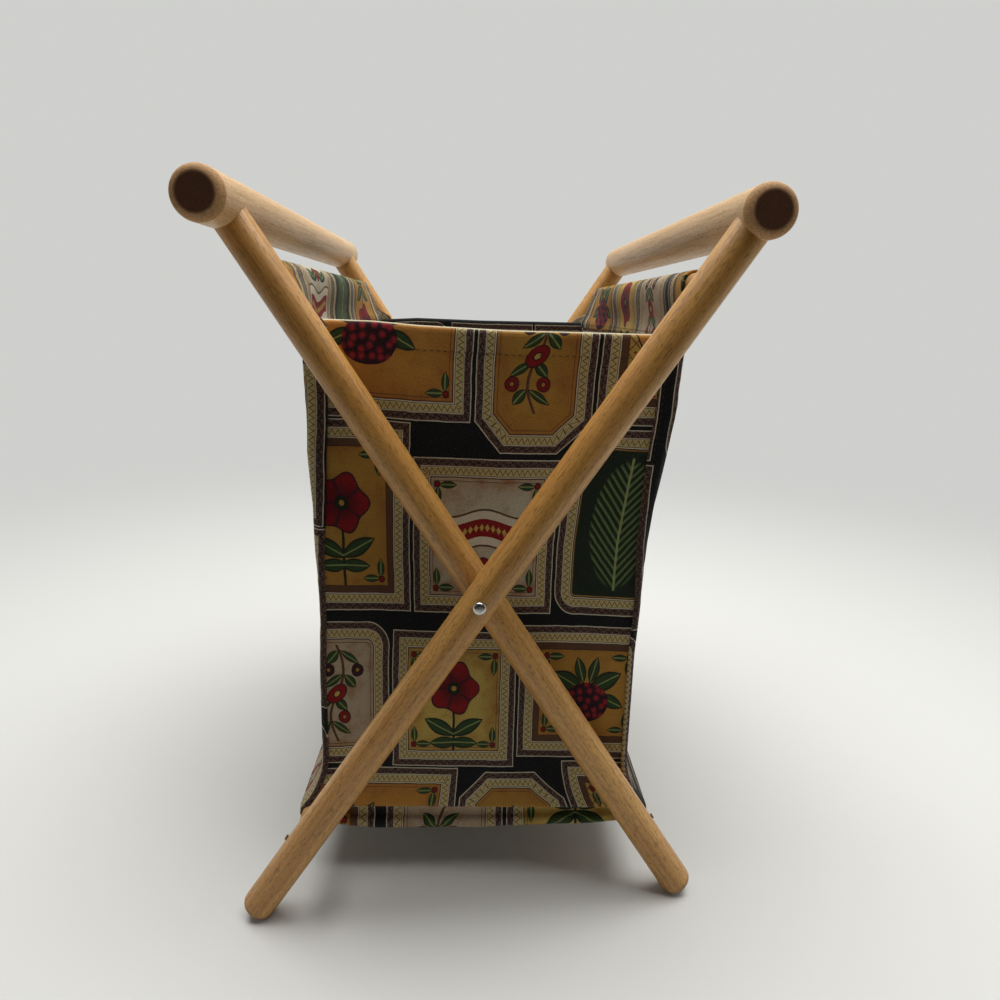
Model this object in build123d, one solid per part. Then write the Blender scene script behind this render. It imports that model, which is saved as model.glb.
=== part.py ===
# Folding sewing basket: two crossed dowel frames that turn on a pair of rivets,
# with a cloth bag hung between them. One frame is the outer one: its legs pass
# outside those of the inner frame at both ends. Each frame has a thick hand rail
# along the top, two round legs, an upper rod that carries one side of the bag and
# a lower rod that the bag's base board rests on.
# Millimetres, +Z up, +Y along the hand rails, origin on the floor at the centre.

from build123d import *
from math import asin, cos, degrees, radians, sin, sqrt
import os

# Dowels
leg_diameter = 16.0
rail_diameter = 22.0
rod_diameter = 9.5
rail_length = 340.0
rail_end_round = 2.8
foot_round = 4.5
round_steps = 2  # straight steps that a rounded-over end is turned in

# Places along a leg, measured from the rivet
pivot_to_rail = 203.0
pivot_to_upper_rod = 170.5
pivot_to_lower_rod = 155.0
pivot_to_foot = 197.5
open_half_angle = 33.4  # degrees between a leg and the vertical when open
closed_rail_gap = 1.0  # between the two hand rails when folded

# Places along the rails
leg_inset = 11.5  # from a rail's end to the axis of an outer leg

# Wood joints
leg_seat_depth = 10.0  # how far a leg goes up into its rail
rod_seat_depth = 9.0  # how far a rod goes into a leg
glue_gap = 0.05
seat_end_gap = 0.3

# Rivets and their washers
rivet_diameter = 3.4
rivet_head_diameter = 6.2
rivet_head_height = 1.9
rivet_head_edge = 0.4  # height of the head's straight rim, below its dome
dome_steps = 2  # straight steps that the dome is turned in
spacer_diameter = 9.0
spacer_thickness = 1.3
spacer_clearance = 0.05
burr_diameter = 7.0
burr_thickness = 0.9
clinch_diameter = 4.8
clinch_height = 0.8
running_gap = 0.05
spot_gap = 0.3  # between a head and the rim of the flat it seats on

# Brads that pin the lower rods in the legs
brad_side = 1.3  # their shanks are square
brad_head_diameter = 2.6
brad_head_height = 0.6
brad_length = 11.0
brad_from_rod_end = 3.0

# Cloth bag
cloth = 1.2
lining_cloth = 0.8
ply_gap = 0.3  # between two layers of cloth
bag_to_leg_gap = 1.75  # from an end of the bag to the inner legs
rim_drop = 21.9  # from the upper rods' axes down to the rim
sleeve_gap = 0.3  # between an upper rod and its sleeve
rod_wrap_gap = 0.4  # between a lower rod and the cloth round it
rod_slot_gap = 0.3  # round a lower rod, in the slot where it leaves the bag
flare_rise = 31.0  # height over which the lower corners pull in to the waist
waist_half_width = 79.5
waist_rise = 76.0  # height of the straight waist, above the flare

# Base board
board_half_width = 84.5
board_end_gap = 1.5  # from the board's ends to the lining
board_thickness = 3.0
board_corner = 8.0
board_gap = 0.3

standing = (Align.CENTER, Align.CENTER, Align.MIN)
leg_r = leg_diameter / 2
rail_r = rail_diameter / 2
rod_r = rod_diameter / 2
lean = radians(open_half_angle)
outer_leg_y = rail_length / 2 - leg_inset
inner_leg_y = outer_leg_y - leg_diameter - spacer_thickness - 2 * spacer_clearance
leg_top = pivot_to_rail - rail_r + leg_seat_depth


def rounded_end(radius, size):
    """Corners of a rounded-over end, as radius and height above the end, from its flat out."""
    steps = [radians(90 * step / round_steps) for step in range(round_steps + 1)]
    return [(radius - size + size * sin(a), size - size * cos(a)) for a in steps]


foot_corners = rounded_end(leg_r, foot_round)
pivot_height = max(r * sin(lean) + (pivot_to_foot - h) * cos(lean) for r, h in foot_corners)
upper_rod_x = pivot_to_upper_rod * sin(lean)
upper_rod_z = pivot_height + pivot_to_upper_rod * cos(lean)
lower_rod_x = pivot_to_lower_rod * sin(lean)
lower_rod_z = pivot_height - pivot_to_lower_rod * cos(lean)

sleeve_r = rod_r + sleeve_gap + cloth
skin = cloth + ply_gap  # from the bag's outer face in to the face of its lining
bag_half_length = inner_leg_y - leg_r - bag_to_leg_gap
rim_height = upper_rod_z - rim_drop
board_half_length = bag_half_length - skin - lining_cloth - board_end_gap
corner_half_width = lower_rod_x + rod_r + rod_wrap_gap + lining_cloth + skin
bag_bottom = lower_rod_z - rod_r - rod_wrap_gap - lining_cloth - skin
panel_foot = bag_bottom + skin


def along_y(radius, start, end, x=0.0, z=0.0):
    """A round bar along Y between two places."""
    bar = Cylinder(radius, end - start, align=standing)
    return Pos(x, start, z) * Rot(-90, 0, 0) * bar


def flat_depth(round_radius, flat_radius):
    """How deep a round flat cuts into the side of a dowel."""
    return round_radius - sqrt(round_radius**2 - flat_radius**2)


def turned(outline):
    """A solid turned about Z from a closed outline of radius and height."""
    return revolve(make_face(Plane.XZ * Polyline(*outline, close=True)), Axis.Z)


spot_r = rivet_head_diameter / 2 + spot_gap
head_seat = outer_leg_y + leg_r - flat_depth(leg_r, spot_r)
burr_spot_r = burr_diameter / 2 + spot_gap
burr_seat = inner_leg_y - leg_r + flat_depth(leg_r, burr_spot_r)


def rail(leg_y):
    """A hand rail: rounded-over ends and two blind holes for the leg tops."""
    corners = rounded_end(rail_r, rail_end_round)
    low = [(r, h - rail_length / 2) for r, h in corners]
    high = [(r, rail_length / 2 - h) for r, h in reversed(corners)]
    bar = turned([(0, -rail_length / 2), *low, *high, (0, rail_length / 2)])
    bar = Pos(0, 0, pivot_to_rail) * Rot(-90, 0, 0) * bar
    hole = Cylinder(leg_r + glue_gap, leg_top + seat_end_gap, align=standing)
    for y in (-leg_y, leg_y):
        bar -= Pos(0, y, 0) * hole
    return bar


def leg(leg_y, outer, brad_way):
    """One leg at +Y: rounded foot, rivet hole, seats for the rods and the brad's hole."""
    foot = [(r, h - pivot_to_foot) for r, h in foot_corners]
    bar = Pos(0, leg_y, 0) * turned([(0, -pivot_to_foot), *foot, (leg_r, leg_top), (0, leg_top)])
    bar -= along_y(rivet_diameter / 2 + running_gap, leg_y - leg_diameter, leg_y + leg_diameter)
    if outer:
        bar -= along_y(spot_r, head_seat, head_seat + leg_r)
    else:
        bar -= along_y(burr_spot_r, burr_seat - leg_r, burr_seat)
    seat = leg_y - leg_r + rod_seat_depth + seat_end_gap
    for z in (pivot_to_upper_rod, -pivot_to_lower_rod):
        bar -= along_y(rod_r + glue_gap, leg_y - leg_diameter, seat, z=z)
    bar -= brad_hole(leg_y, brad_way)
    return bar


def brad_place(leg_y):
    """Distance along Y of the brad that pins a lower rod in the leg there."""
    return leg_y - leg_r + rod_seat_depth - brad_from_rod_end


def brad_hole(leg_y, way):
    """The square hole for a brad, from outside the leg to just past the brad's point."""
    depth = leg_diameter - leg_r + brad_length + seat_end_gap
    size = brad_side + 2 * glue_gap
    hole = Box(size, size, depth, align=(Align.CENTER, Align.CENTER, Align.MAX))
    return brad_seat(leg_y, way) * Pos(0, 0, leg_diameter) * hole


def brad_seat(leg_y, way):
    """Where a brad stands: across the leg at the lower rod, its head pointing outwards."""
    return Pos(0, brad_place(leg_y), -pivot_to_lower_rod) * Rot(0, way * 90, 0)


def brad(leg_y, way):
    """A small flat-headed nail across the leg and the rod's end."""
    shank = Box(brad_side, brad_side, brad_length, align=(Align.CENTER, Align.CENTER, Align.MAX))
    head = Cylinder(brad_head_diameter / 2, brad_head_height, align=standing)
    return brad_seat(leg_y, way) * Pos(0, 0, leg_r) * (shank + head)


def rod(leg_y, z, brad_way=0):
    """A thin rod between two legs, drilled for its brads where it has them."""
    half = leg_y - leg_r + rod_seat_depth
    bar = along_y(rod_r, -half, half, z=z)
    if brad_way:
        hole = brad_hole(leg_y, brad_way)
        bar -= hole
        bar -= mirror(hole, Plane.XZ)
    return bar


def frame(name, leg_y, outer, brad_way, turn):
    """All the wood of one frame, modelled upright on its pivot and then leaned."""
    near_leg = mirror(leg(leg_y, outer, brad_way), Plane.XZ)
    pin = brad(leg_y, brad_way)
    upper_side, lower_side = ("right", "left") if turn > 0 else ("left", "right")
    made = {
        "rail_" + upper_side: rail(leg_y),
        "leg_" + name + "_near": near_leg,
        "leg_" + name + "_far": leg(leg_y, outer, brad_way),
        "upper_rod_" + upper_side: rod(leg_y, pivot_to_upper_rod),
        "lower_rod_" + lower_side: rod(leg_y, -pivot_to_lower_rod, brad_way),
        "rod_brads_" + name: Compound([pin, mirror(pin, Plane.XZ)]),
    }
    place = Pos(0, 0, pivot_height) * Rot(0, turn, 0)
    return {node: place * shape for node, shape in made.items()}


def rivet():
    """The far rivet: domed head outside, shank through both legs, clinched end inside."""
    r = rivet_diameter / 2
    head_r = rivet_head_diameter / 2
    clinch_r = clinch_diameter / 2
    crown = head_seat + rivet_head_height
    clinch_start = burr_seat - burr_thickness
    clinch_end = clinch_start - clinch_height
    corners = [
        (0, clinch_end),
        (clinch_r, clinch_end),
        (clinch_r, clinch_start),
        (r, clinch_start),
        (r, head_seat),
        (head_r, head_seat),
    ]
    dome_height = rivet_head_height - rivet_head_edge
    dome_r = (head_r**2 + dome_height**2) / (2 * dome_height)
    for step in range(dome_steps):
        across = head_r * (dome_steps - step) / dome_steps
        corners.append((across, crown - dome_r + sqrt(dome_r**2 - across**2)))
    corners.append((0, crown))
    body = revolve(make_face(Polyline(*corners, close=True)), Axis.Y)
    return Pos(0, 0, pivot_height) * body


def washer(diameter, start, end):
    """A flat ring on the rivet's shank."""
    ring = along_y(diameter / 2, start, end) - along_y(rivet_diameter / 2 + running_gap, start, end)
    return Pos(0, 0, pivot_height) * ring


def pivot_parts():
    """Rivets, the spacers between the crossed legs and the burrs under the clinches."""
    gap_start = inner_leg_y + leg_r + spacer_clearance
    far = {
        "pivot_rivet": rivet(),
        "leg_spacer": washer(spacer_diameter, gap_start, gap_start + spacer_thickness),
        "rivet_burr": washer(burr_diameter, burr_seat - burr_thickness, burr_seat),
    }
    made = {}
    for node, shape in far.items():
        made[node + "_far"] = shape
        made[node + "_near"] = mirror(shape, Plane.XZ)
    return made


def wall_line(inset):
    """The right-hand wall of the bag in section, moved in from its outer face.

    It rises straight past the lower rod, pulls in to the waist in two arcs and
    swings out again in one long arc to hang from the upper rod.
    """
    corner = corner_half_width - inset
    waist = waist_half_width - inset
    flare_start = lower_rod_z + rod_r
    flare_end = flare_start + flare_rise
    waist_end = flare_end + waist_rise
    middle = ((corner + waist) / 2, 0, (flare_start + flare_end) / 2)
    top = (upper_rod_x + cloth / 2 - inset, 0, upper_rod_z)
    up = (0, 0, 1)
    return [
        Line((corner, 0, bag_bottom), (corner, 0, flare_start)),
        TangentArc((corner, 0, flare_start), middle, tangent=up),
        TangentArc((waist, 0, flare_end), middle, tangent=(0, 0, -1)),
        Line((waist, 0, flare_end), (waist, 0, waist_end)),
        TangentArc((waist, 0, waist_end), top, tangent=up),
    ]


def bag_block(inset, half_length, foot, top):
    """The bag as a solid block: its section drawn out along Y, cut at foot and top."""
    right = wall_line(inset)
    left = [mirror(line, Plane.YZ) for line in right]
    low_right = right[0] @ 0
    high_right = right[-1] @ 1
    low = Line(low_right, (-low_right.X, 0, low_right.Z))
    high = Line(high_right, (-high_right.X, 0, high_right.Z))
    section = make_face([*right, *left, low, high])
    keep = Box(rail_length, rail_length, top - foot, align=standing)
    return extrude(section, half_length, dir=(0, 1, 0), both=True) & (Pos(0, 0, foot) * keep)


def lower_rod_slots():
    """Square slots round both lower rods, where they pass through the ends of the bag."""
    across = 2 * (rod_r + rod_slot_gap)
    slot = Box(across, 2 * (bag_half_length + cloth), across)
    return [Pos(x, 0, lower_rod_z) * slot for x in (-lower_rod_x, lower_rod_x)]


def side_panels():
    """The two side walls, each seated under its sleeve on the upper rod."""
    outer = bag_block(0, bag_half_length, panel_foot, upper_rod_z)
    inner = bag_block(cloth, bag_half_length + cloth, bag_bottom - cloth, upper_rod_z + cloth)
    walls = outer - inner
    for x in (-upper_rod_x, upper_rod_x):
        walls -= along_y(sleeve_r, -bag_half_length - cloth, bag_half_length + cloth, x, upper_rod_z)
    walls = sorted(walls.solids(), key=lambda s: s.volume)[-2:]
    left, right = sorted(walls, key=lambda s: s.center().X)
    return {"side_panel_left": left, "side_panel_right": right}


def end_panels():
    """The near and far walls, set between the side walls, open at the rim."""
    plate = bag_block(skin, bag_half_length, panel_foot, rim_height)
    for slot in lower_rod_slots():
        plate -= slot
    made = {}
    for name, y in (("near", -bag_half_length + cloth / 2), ("far", bag_half_length - cloth / 2)):
        slice_y = Pos(0, y, 0) * Box(rail_length, cloth, rim_height, align=standing)
        made["end_panel_" + name] = plate & slice_y
    return made


def lining():
    """The bag inside the bag: floor and four walls in one, open at the top."""
    half = bag_half_length - skin
    top = rim_height - cloth
    shell = bag_block(skin, half, panel_foot, top)
    shell -= bag_block(skin + lining_cloth, half - lining_cloth, panel_foot + lining_cloth, top + cloth)
    for slot in lower_rod_slots():
        shell -= slot
    return shell


def bottom_panel():
    """The cloth under the lower rods, from one lower corner to the other."""
    sheet = Box(2 * corner_half_width, 2 * bag_half_length, cloth, align=standing)
    return Pos(0, 0, bag_bottom) * sheet


def sleeves():
    """The hems that the upper rods run through."""
    made = {}
    for side, x in (("left", -upper_rod_x), ("right", upper_rod_x)):
        tube = along_y(sleeve_r, -bag_half_length, bag_half_length, x, upper_rod_z)
        tube -= along_y(rod_r + sleeve_gap, -bag_half_length, bag_half_length, x, upper_rod_z)
        made["rod_sleeve_" + side] = tube
    return made


def base_board():
    """The stiff sawn board that lies on both lower rods."""
    board = Box(2 * board_half_width, 2 * board_half_length, board_thickness, align=standing)
    board = fillet(board.edges().filter_by(Axis.Z), board_corner)
    return Pos(0, 0, lower_rod_z + rod_r + board_gap) * board


parts = {}
parts.update(frame("outer", outer_leg_y, True, -1, open_half_angle))
parts.update(frame("inner", inner_leg_y, False, 1, -open_half_angle))
parts.update(pivot_parts())
parts.update(side_panels())
parts.update(end_panels())
parts.update(sleeves())
parts["lining"] = lining()
parts["bottom_panel"] = bottom_panel()
parts["base_board"] = base_board()

os.makedirs("parts", exist_ok=True)
for node, shape in parts.items():
    shape.label = node
    export_step(shape, "parts/" + node + ".step")

folded_half_angle = degrees(asin((rail_diameter + closed_rail_gap) / 2 / pivot_to_rail))
print("nodes", len(parts))
print("pivot height", round(pivot_height, 3), "upper rod", round(upper_rod_x, 3), round(upper_rod_z, 3))
print("lower rod", round(lower_rod_x, 3), round(lower_rod_z, 3), "bag bottom", round(bag_bottom, 3))
print("fold of each frame", round(open_half_angle - folded_half_angle, 3), "degrees")
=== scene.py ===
import random
from functools import partial
from math import cos, dist, exp, pi, radians, sin, sqrt

import bmesh
import bpy
from mathutils import Matrix, Vector, noise


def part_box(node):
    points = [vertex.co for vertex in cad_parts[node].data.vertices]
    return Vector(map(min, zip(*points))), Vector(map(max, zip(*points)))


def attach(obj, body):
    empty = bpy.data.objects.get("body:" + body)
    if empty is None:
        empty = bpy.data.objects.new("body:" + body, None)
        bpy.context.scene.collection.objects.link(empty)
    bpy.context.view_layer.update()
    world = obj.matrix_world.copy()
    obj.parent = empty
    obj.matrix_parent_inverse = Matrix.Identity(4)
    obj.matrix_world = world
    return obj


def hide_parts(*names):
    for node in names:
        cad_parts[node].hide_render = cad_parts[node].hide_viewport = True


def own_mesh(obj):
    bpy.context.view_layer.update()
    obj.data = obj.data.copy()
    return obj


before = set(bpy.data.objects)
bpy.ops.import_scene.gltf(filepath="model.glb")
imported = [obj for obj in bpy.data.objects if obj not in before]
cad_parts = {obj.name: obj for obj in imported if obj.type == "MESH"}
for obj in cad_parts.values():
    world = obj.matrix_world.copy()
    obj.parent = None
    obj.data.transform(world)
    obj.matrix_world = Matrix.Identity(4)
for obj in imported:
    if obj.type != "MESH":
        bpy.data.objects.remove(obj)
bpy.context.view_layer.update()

# Camera: a phone held a little above the rails, half a metre in front of the near end,
# turned slightly to the right, looking down and tipped a degree and a half.
camera_place = Vector((-0.00343, -0.48244, 0.29530))
camera_yaw = 0.0354
camera_pitch = 0.2417
camera_roll = -0.0264
camera_lens = 27.426

forward = Vector((
    sin(camera_yaw) * cos(camera_pitch),
    cos(camera_yaw) * cos(camera_pitch),
    -sin(camera_pitch),
))
level = Vector((cos(camera_yaw), -sin(camera_yaw), 0))
down = forward.cross(level)
image_right = level * cos(camera_roll) + down * sin(camera_roll)
image_down = down * cos(camera_roll) - level * sin(camera_roll)
camera = bpy.data.objects.new("camera", bpy.data.cameras.new("camera"))
camera.data.lens = camera_lens
camera.data.sensor_width = 36
camera.data.clip_start = 0.01
turn = Matrix((image_right, -image_down, -forward)).transposed()
camera.matrix_world = Matrix.Translation(camera_place) @ turn.to_4x4()
bpy.context.scene.collection.objects.link(camera)
bpy.context.scene.camera = camera
bpy.context.scene.view_settings.view_transform = "Standard"

# Floor: a plain pale sweep that curves up into a wall all round, like the inside of a light
# tent, so that no horizon shows. Its open side, behind the camera, is a dim room.
floor_flat = 1.7
sweep_round = 0.9
sweep_steps = 12
sweep_turning_steps = 72
wall_top = 2.3
merge_within = 1e-6
floor_colour = (214, 214, 211)
background_colour = (207, 208, 205)
dark_room = (62, 57, 52)
open_side_start = -0.75
open_side_end = -0.22
fade_start = 0.12
fade_end = 1.2
near_share = 0.03


def spun(points, centre, axis, steps):
    """The shape that a line of points makes when it is spun once round an axis."""
    shape = bmesh.new()
    profile = [shape.verts.new(point) for point in points]
    for first, second in zip(profile, profile[1:]):
        shape.edges.new((first, second))
    bmesh.ops.spin(shape, geom=shape.verts[:] + shape.edges[:], cent=centre, axis=axis,
                   angle=2 * pi, steps=steps, use_merge=True)
    bmesh.ops.remove_doubles(shape, verts=shape.verts, dist=merge_within)
    for face in shape.faces:
        face.smooth = True
    return shape


def finished(name, shape, material):
    """The piece that a finished shape makes, in its material and in the scene."""
    mesh = bpy.data.meshes.new(name)
    shape.to_mesh(mesh)
    shape.free()
    mesh.materials.append(material)
    piece = bpy.data.objects.new(name, mesh)
    bpy.context.scene.collection.objects.link(piece)
    return piece


class Reading:
    """What a shader node puts out over a surface, to reckon with as with a plain number."""

    def __init__(self, node, output=0):
        self.node = node
        self.tree = node.id_data
        self.socket = node.outputs[output]

    def __getitem__(self, output):
        return Reading(self.node, output)

    def __add__(self, other):
        return reckon("ADD", self, other)

    def __sub__(self, other):
        return reckon("SUBTRACT", self, other)

    def __rsub__(self, other):
        return reckon("SUBTRACT", other, self)

    def __mul__(self, other):
        return reckon("MULTIPLY", self, other)

    def __truediv__(self, other):
        return reckon("DIVIDE", self, other)

    def __pow__(self, other):
        return reckon("POWER", self, other)

    def __abs__(self):
        return reckon("ABSOLUTE", self)


def plug(node, inputs):
    """Give a node's inputs their values: plain ones, or what other nodes put out."""
    for name, value in inputs.items():
        if isinstance(value, Reading):
            node.id_data.links.new(value.socket, node.inputs[name])
        else:
            node.inputs[name].default_value = value


def add_node(tree, kind, inputs=(), **settings):
    """A new shader node, with its inputs given in order or by name."""
    node = tree.nodes.new("ShaderNode" + kind)
    for name, value in settings.items():
        setattr(node, name, value)
    plug(node, inputs if isinstance(inputs, dict) else dict(enumerate(inputs)))
    return Reading(node)


def reckon(operation, *values, kind="Math"):
    """The result of an operation on readings and plain values."""
    tree = next(value.tree for value in values if isinstance(value, Reading))
    return add_node(tree, kind, values, operation=operation)


def reckon_place(operation, *values):
    """The result of an operation on places, each an x, y and z."""
    return reckon(operation, *values, kind="VectorMath")


def split(place):
    """The x, y and z of a place."""
    parts = add_node(place.tree, "SeparateXYZ", [place])
    return parts[0], parts[1], parts[2]


def between(value, low, high, least=0.0):
    """How far a value has come from low to high, smoothly, from least to 1."""
    return add_node(value.tree, "MapRange", (value, low, high, least, 1.0),
                    interpolation_type="SMOOTHSTEP")


def mixed(share, first, second, kind="FLOAT"):
    """The second of two numbers, places or colours over the first, by a share from 0 to 1."""
    # The node has a pair of inputs and an output of its own for each kind.
    slot = {"FLOAT": 2, "VECTOR": 4, "RGBA": 6}[kind]
    inputs = {0: share, slot: first, slot + 1: second}
    return add_node(share.tree, "Mix", inputs, data_type=kind)[slot // 2 - 1]


def linear(colour):
    """A colour given as 0 to 255 display values, as the shaders need it."""
    share = [value / 255 for value in colour]
    return [v / 12.92 if v <= 0.04045 else ((v + 0.055) / 1.055) ** 2.4 for v in share] + [1.0]


def dye(share, first, second):
    """The second colour over the first, by a share from 0 to 1. A tuple is display values."""
    first, second = [linear(c) if isinstance(c, tuple) else c for c in (first, second)]
    return mixed(share, first, second, "RGBA")


def new_material(name):
    """A new material, with its node tree and its shader."""
    made = bpy.data.materials.new(name)
    made.use_nodes = True
    return made, made.node_tree, made.node_tree.nodes["Principled BSDF"]


paper, tree, shader = new_material("pale_sweep")
place = add_node(tree, "TexCoord")["Object"]
to_eye = add_node(tree, "LightPath")["Is Camera Ray"]
pale_side = between(split(place)[1], open_side_start, open_side_end)
plug(shader, {
    "Base Color": dye(reckon("MAXIMUM", to_eye, pale_side), dark_room, floor_colour),
    "Roughness": 0.55,
})
away = reckon_place("LENGTH", place)["Value"]
shown = reckon("MAXIMUM", to_eye, to_eye["Is Glossy Ray"] * pale_side)
shown = shown * between(away, fade_start, fade_end, near_share)
far_paper = add_node(tree, "Emission", [linear(background_colour)])
plug(tree.nodes["Material Output"],
     {"Surface": add_node(tree, "MixShader", [shown, Reading(shader), far_paper])})

profile = [(0, 0, 0), (floor_flat, 0, 0)]
for step in range(1, sweep_steps + 1):
    angle = radians(90 * step / sweep_steps)
    profile.append((floor_flat + sweep_round * sin(angle), 0, sweep_round * (1 - cos(angle))))
profile.append((floor_flat + sweep_round, 0, wall_top))
sweep = spun(profile, (0, 0, 0), (0, 0, 1), sweep_turning_steps)
for face in sweep.faces:
    upright = abs(face.normal.z) < 1e-6
    if face.normal.z < 0 or upright and face.normal.dot(face.calc_center_median()) > 0:
        face.normal_flip()
finished("floor", sweep, paper)

# Studio light: a broad soft lamp above and behind, a weaker one to the right, and a pale
# room that fills the shadows a little.
room_light = (0.92, 0.96, 1.0)
room_strength = 0.035
lamp_places = {
    "top_lamp": ((0.05, 0.16, 1.7), (2.0, 1.5), 51.0, (1.0, 0.995, 0.98)),
    "right_lamp": ((1.3, 0.35, 0.8), (0.9, 0.9), 2.0, (1.0, 0.99, 0.97)),
}
lamp_aim = Vector((0, 0, 0.17))

world = bpy.data.worlds.new("room")
bpy.context.scene.world = world
world.use_nodes = True
tree = world.node_tree
fill = tree.nodes["Background"]
plug(fill, {"Color": (*room_light, 1), "Strength": room_strength})
to_eye = add_node(tree, "LightPath")["Is Camera Ray"]
shown = add_node(tree, "Background", [linear(background_colour)])
plug(tree.nodes["World Output"],
     {"Surface": add_node(tree, "MixShader", [to_eye, Reading(fill), shown])})

for name, (place, size, power, colour) in lamp_places.items():
    lamp = bpy.data.lights.new(name, "AREA")
    lamp.shape = "RECTANGLE"
    lamp.size, lamp.size_y = size
    lamp.energy = power
    lamp.color = colour
    made = bpy.data.objects.new(name, lamp)
    aim = lamp_aim - Vector(place)
    made.matrix_world = Matrix.Translation(place) @ aim.to_track_quat("-Z", "Y").to_matrix().to_4x4()
    bpy.context.scene.collection.objects.link(made)

# Hand rails: two thick hardwood dowels, turned with rounded-over ends and left with dark,
# sealed end grain. The tops of the legs are glued into blind holes on their undersides.
rail_end_round = 0.0042
dowel_sides = 64
round_steps = 5
grain_seed = 3
grain_draws = random.Random(grain_seed)
pore_brown = (112, 78, 46)
worn_end_pale = (198, 150, 94)
worn_end_brown = (118, 76, 40)
end_grain = (72, 35, 3)
end_grain_light = (106, 62, 22)
worn_ring = 0.0042


def noise_on(place, scale, detail, roughness=0.5):
    """Smooth noise over a surface."""
    return add_node(place.tree, "TexNoise", {"Vector": place, "Scale": scale, "Detail": detail,
                                             "Roughness": roughness})


def drawn_out(place, across, along, detail, roughness=0.5):
    """Noise drawn out along a dowel: a scale across the grain and one along it."""
    return noise_on(reckon_place("MULTIPLY", place, (across, across, along)), 1.0, detail, roughness)


def emboss(shader, height, strength, distance, **settings):
    """Fine relief on a shader, from a reading of its height."""
    inputs = {"Strength": strength, "Distance": distance, "Height": height}
    plug(shader, {"Normal": add_node(height.tree, "Bump", inputs, **settings)})


def dowel_wood(name, pale, warm, streak, gloss):
    """Clear-finished dowel wood: drawn-out streaks and pores, and dark speckled end grain."""
    material, tree, shader = new_material(name)
    place = add_node(tree, "Attribute", attribute_name="grain")["Vector"]
    from_end = add_node(tree, "Attribute", attribute_name="from_end")["Fac"]
    broad = between(drawn_out(place, 110, 5, 3), 0.35, 0.65)
    patches = between(drawn_out(place, 45, 22, 2), 0.35, 0.70)
    fine = between(drawn_out(place, 900, 22, 4, 0.7), 0.44, 0.70)
    flecks = between(drawn_out(place, 1500, 300, 2), 0.56, 0.68)
    pores = between(drawn_out(place, 3000, 420, 2, 0.6), 0.56, 0.66)
    colour = dye(broad, pale, warm)
    colour = dye(patches * 0.35, colour, warm)
    colour = dye(fine * 0.42, colour, streak)
    colour = dye(flecks * 0.55, colour, streak)
    colour = dye(pores * 0.45, colour, pore_brown)
    specks = between(noise_on(place, 2600, 3, 0.6), 0.40, 0.62)
    ring = 1.0 - between(from_end, worn_ring - 0.0005, worn_ring)
    colour = dye(ring * 0.75, colour, dye(specks, worn_end_pale, worn_end_brown))
    face = 1.0 - between(from_end, 0.00002, 0.0003)
    colour = dye(face, colour, dye(specks * 0.5, end_grain, end_grain_light))
    plug(shader, {"Base Color": colour, "Roughness": ring * 0.35 + (fine * 0.16 + gloss)})
    emboss(shader, fine * 0.5 + pores, 0.5, 0.0001, invert=True)
    return material


def dowel(name, start, end, radius, end_round, material, body, node):
    """A round bar between two points, rounded over at both ends, that keeps its grain's place."""
    start, end = Vector(start), Vector(end)
    length = (end - start).length
    bar = bmesh.new()
    bmesh.ops.create_cone(
        bar, cap_ends=True, segments=dowel_sides, radius1=radius, radius2=radius, depth=length
    )
    rims = [edge for edge in bar.edges if len(edge.link_faces) == 2
            and {len(face.verts) for face in edge.link_faces} == {4, dowel_sides}]
    bmesh.ops.bevel(
        bar, geom=rims, offset=end_round, segments=round_steps, profile=0.5, affect="EDGES", material=-1
    )
    grain = bar.verts.layers.float_vector.new("grain")
    from_end = bar.verts.layers.float.new("from_end")
    seed = Vector((grain_draws.uniform(-1, 1), grain_draws.uniform(-1, 1), grain_draws.uniform(-5, 5)))
    for vert in bar.verts:
        vert[grain] = vert.co + seed
        vert[from_end] = length / 2 - abs(vert.co.z)
    for face in bar.faces:
        face.smooth = len(face.verts) == 4
    turn = (end - start).to_track_quat("Z", "Y").to_matrix().to_4x4()
    bmesh.ops.transform(bar, matrix=Matrix.Translation((start + end) / 2) @ turn, verts=bar.verts)
    piece = finished(name, bar, material)
    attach(piece, body)
    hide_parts(node)


def level_dowel(name, node, end_round, material, body):
    """A dowel that lies along the basket, where its CAD node does."""
    low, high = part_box(node)
    middle = (low + high) / 2
    dowel(name, (middle.x, low.y, middle.z), (middle.x, high.y, middle.z), (high.x - low.x) / 2,
          end_round, material, body, node)


rail_wood = dowel_wood("rail_wood", (224, 189, 142), (210, 171, 120), (162, 121, 76), 0.40)
for side, body in (("left", "inner_frame"), ("right", "outer_frame")):
    level_dowel("hand_rail_" + side, "rail_" + side, rail_end_round, rail_wood, body)

# Legs: four thinner dowels of the same wood, darker and more streaked, crossed in two pairs.
# Their feet are rounded over, and their tops go a centimetre up into the rails.
leg_radius = 0.008
leg_foot_round = 0.0045
leg_lean = radians(33.4)
pivot_to_foot = 0.1975
pivot_to_leg_top = 0.202
leg_wood = dowel_wood("leg_wood", (212, 161, 88), (190, 136, 65), (106, 68, 27), 0.36)

spacer_low, spacer_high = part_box("leg_spacer_near")
pivot = (spacer_low + spacer_high) / 2
for name, body, way in (("outer", "outer_frame", 1), ("inner", "inner_frame", -1)):
    upward = Vector((way * sin(leg_lean), 0, cos(leg_lean)))
    for end in ("near", "far"):
        node = "leg_" + name + "_" + end
        low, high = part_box(node)
        axle = Vector((0, (low.y + high.y) / 2, pivot.z))
        dowel(node + "_dowel", axle - upward * pivot_to_foot, axle + upward * pivot_to_leg_top,
              leg_radius, leg_foot_round, leg_wood, body, node)

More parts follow.
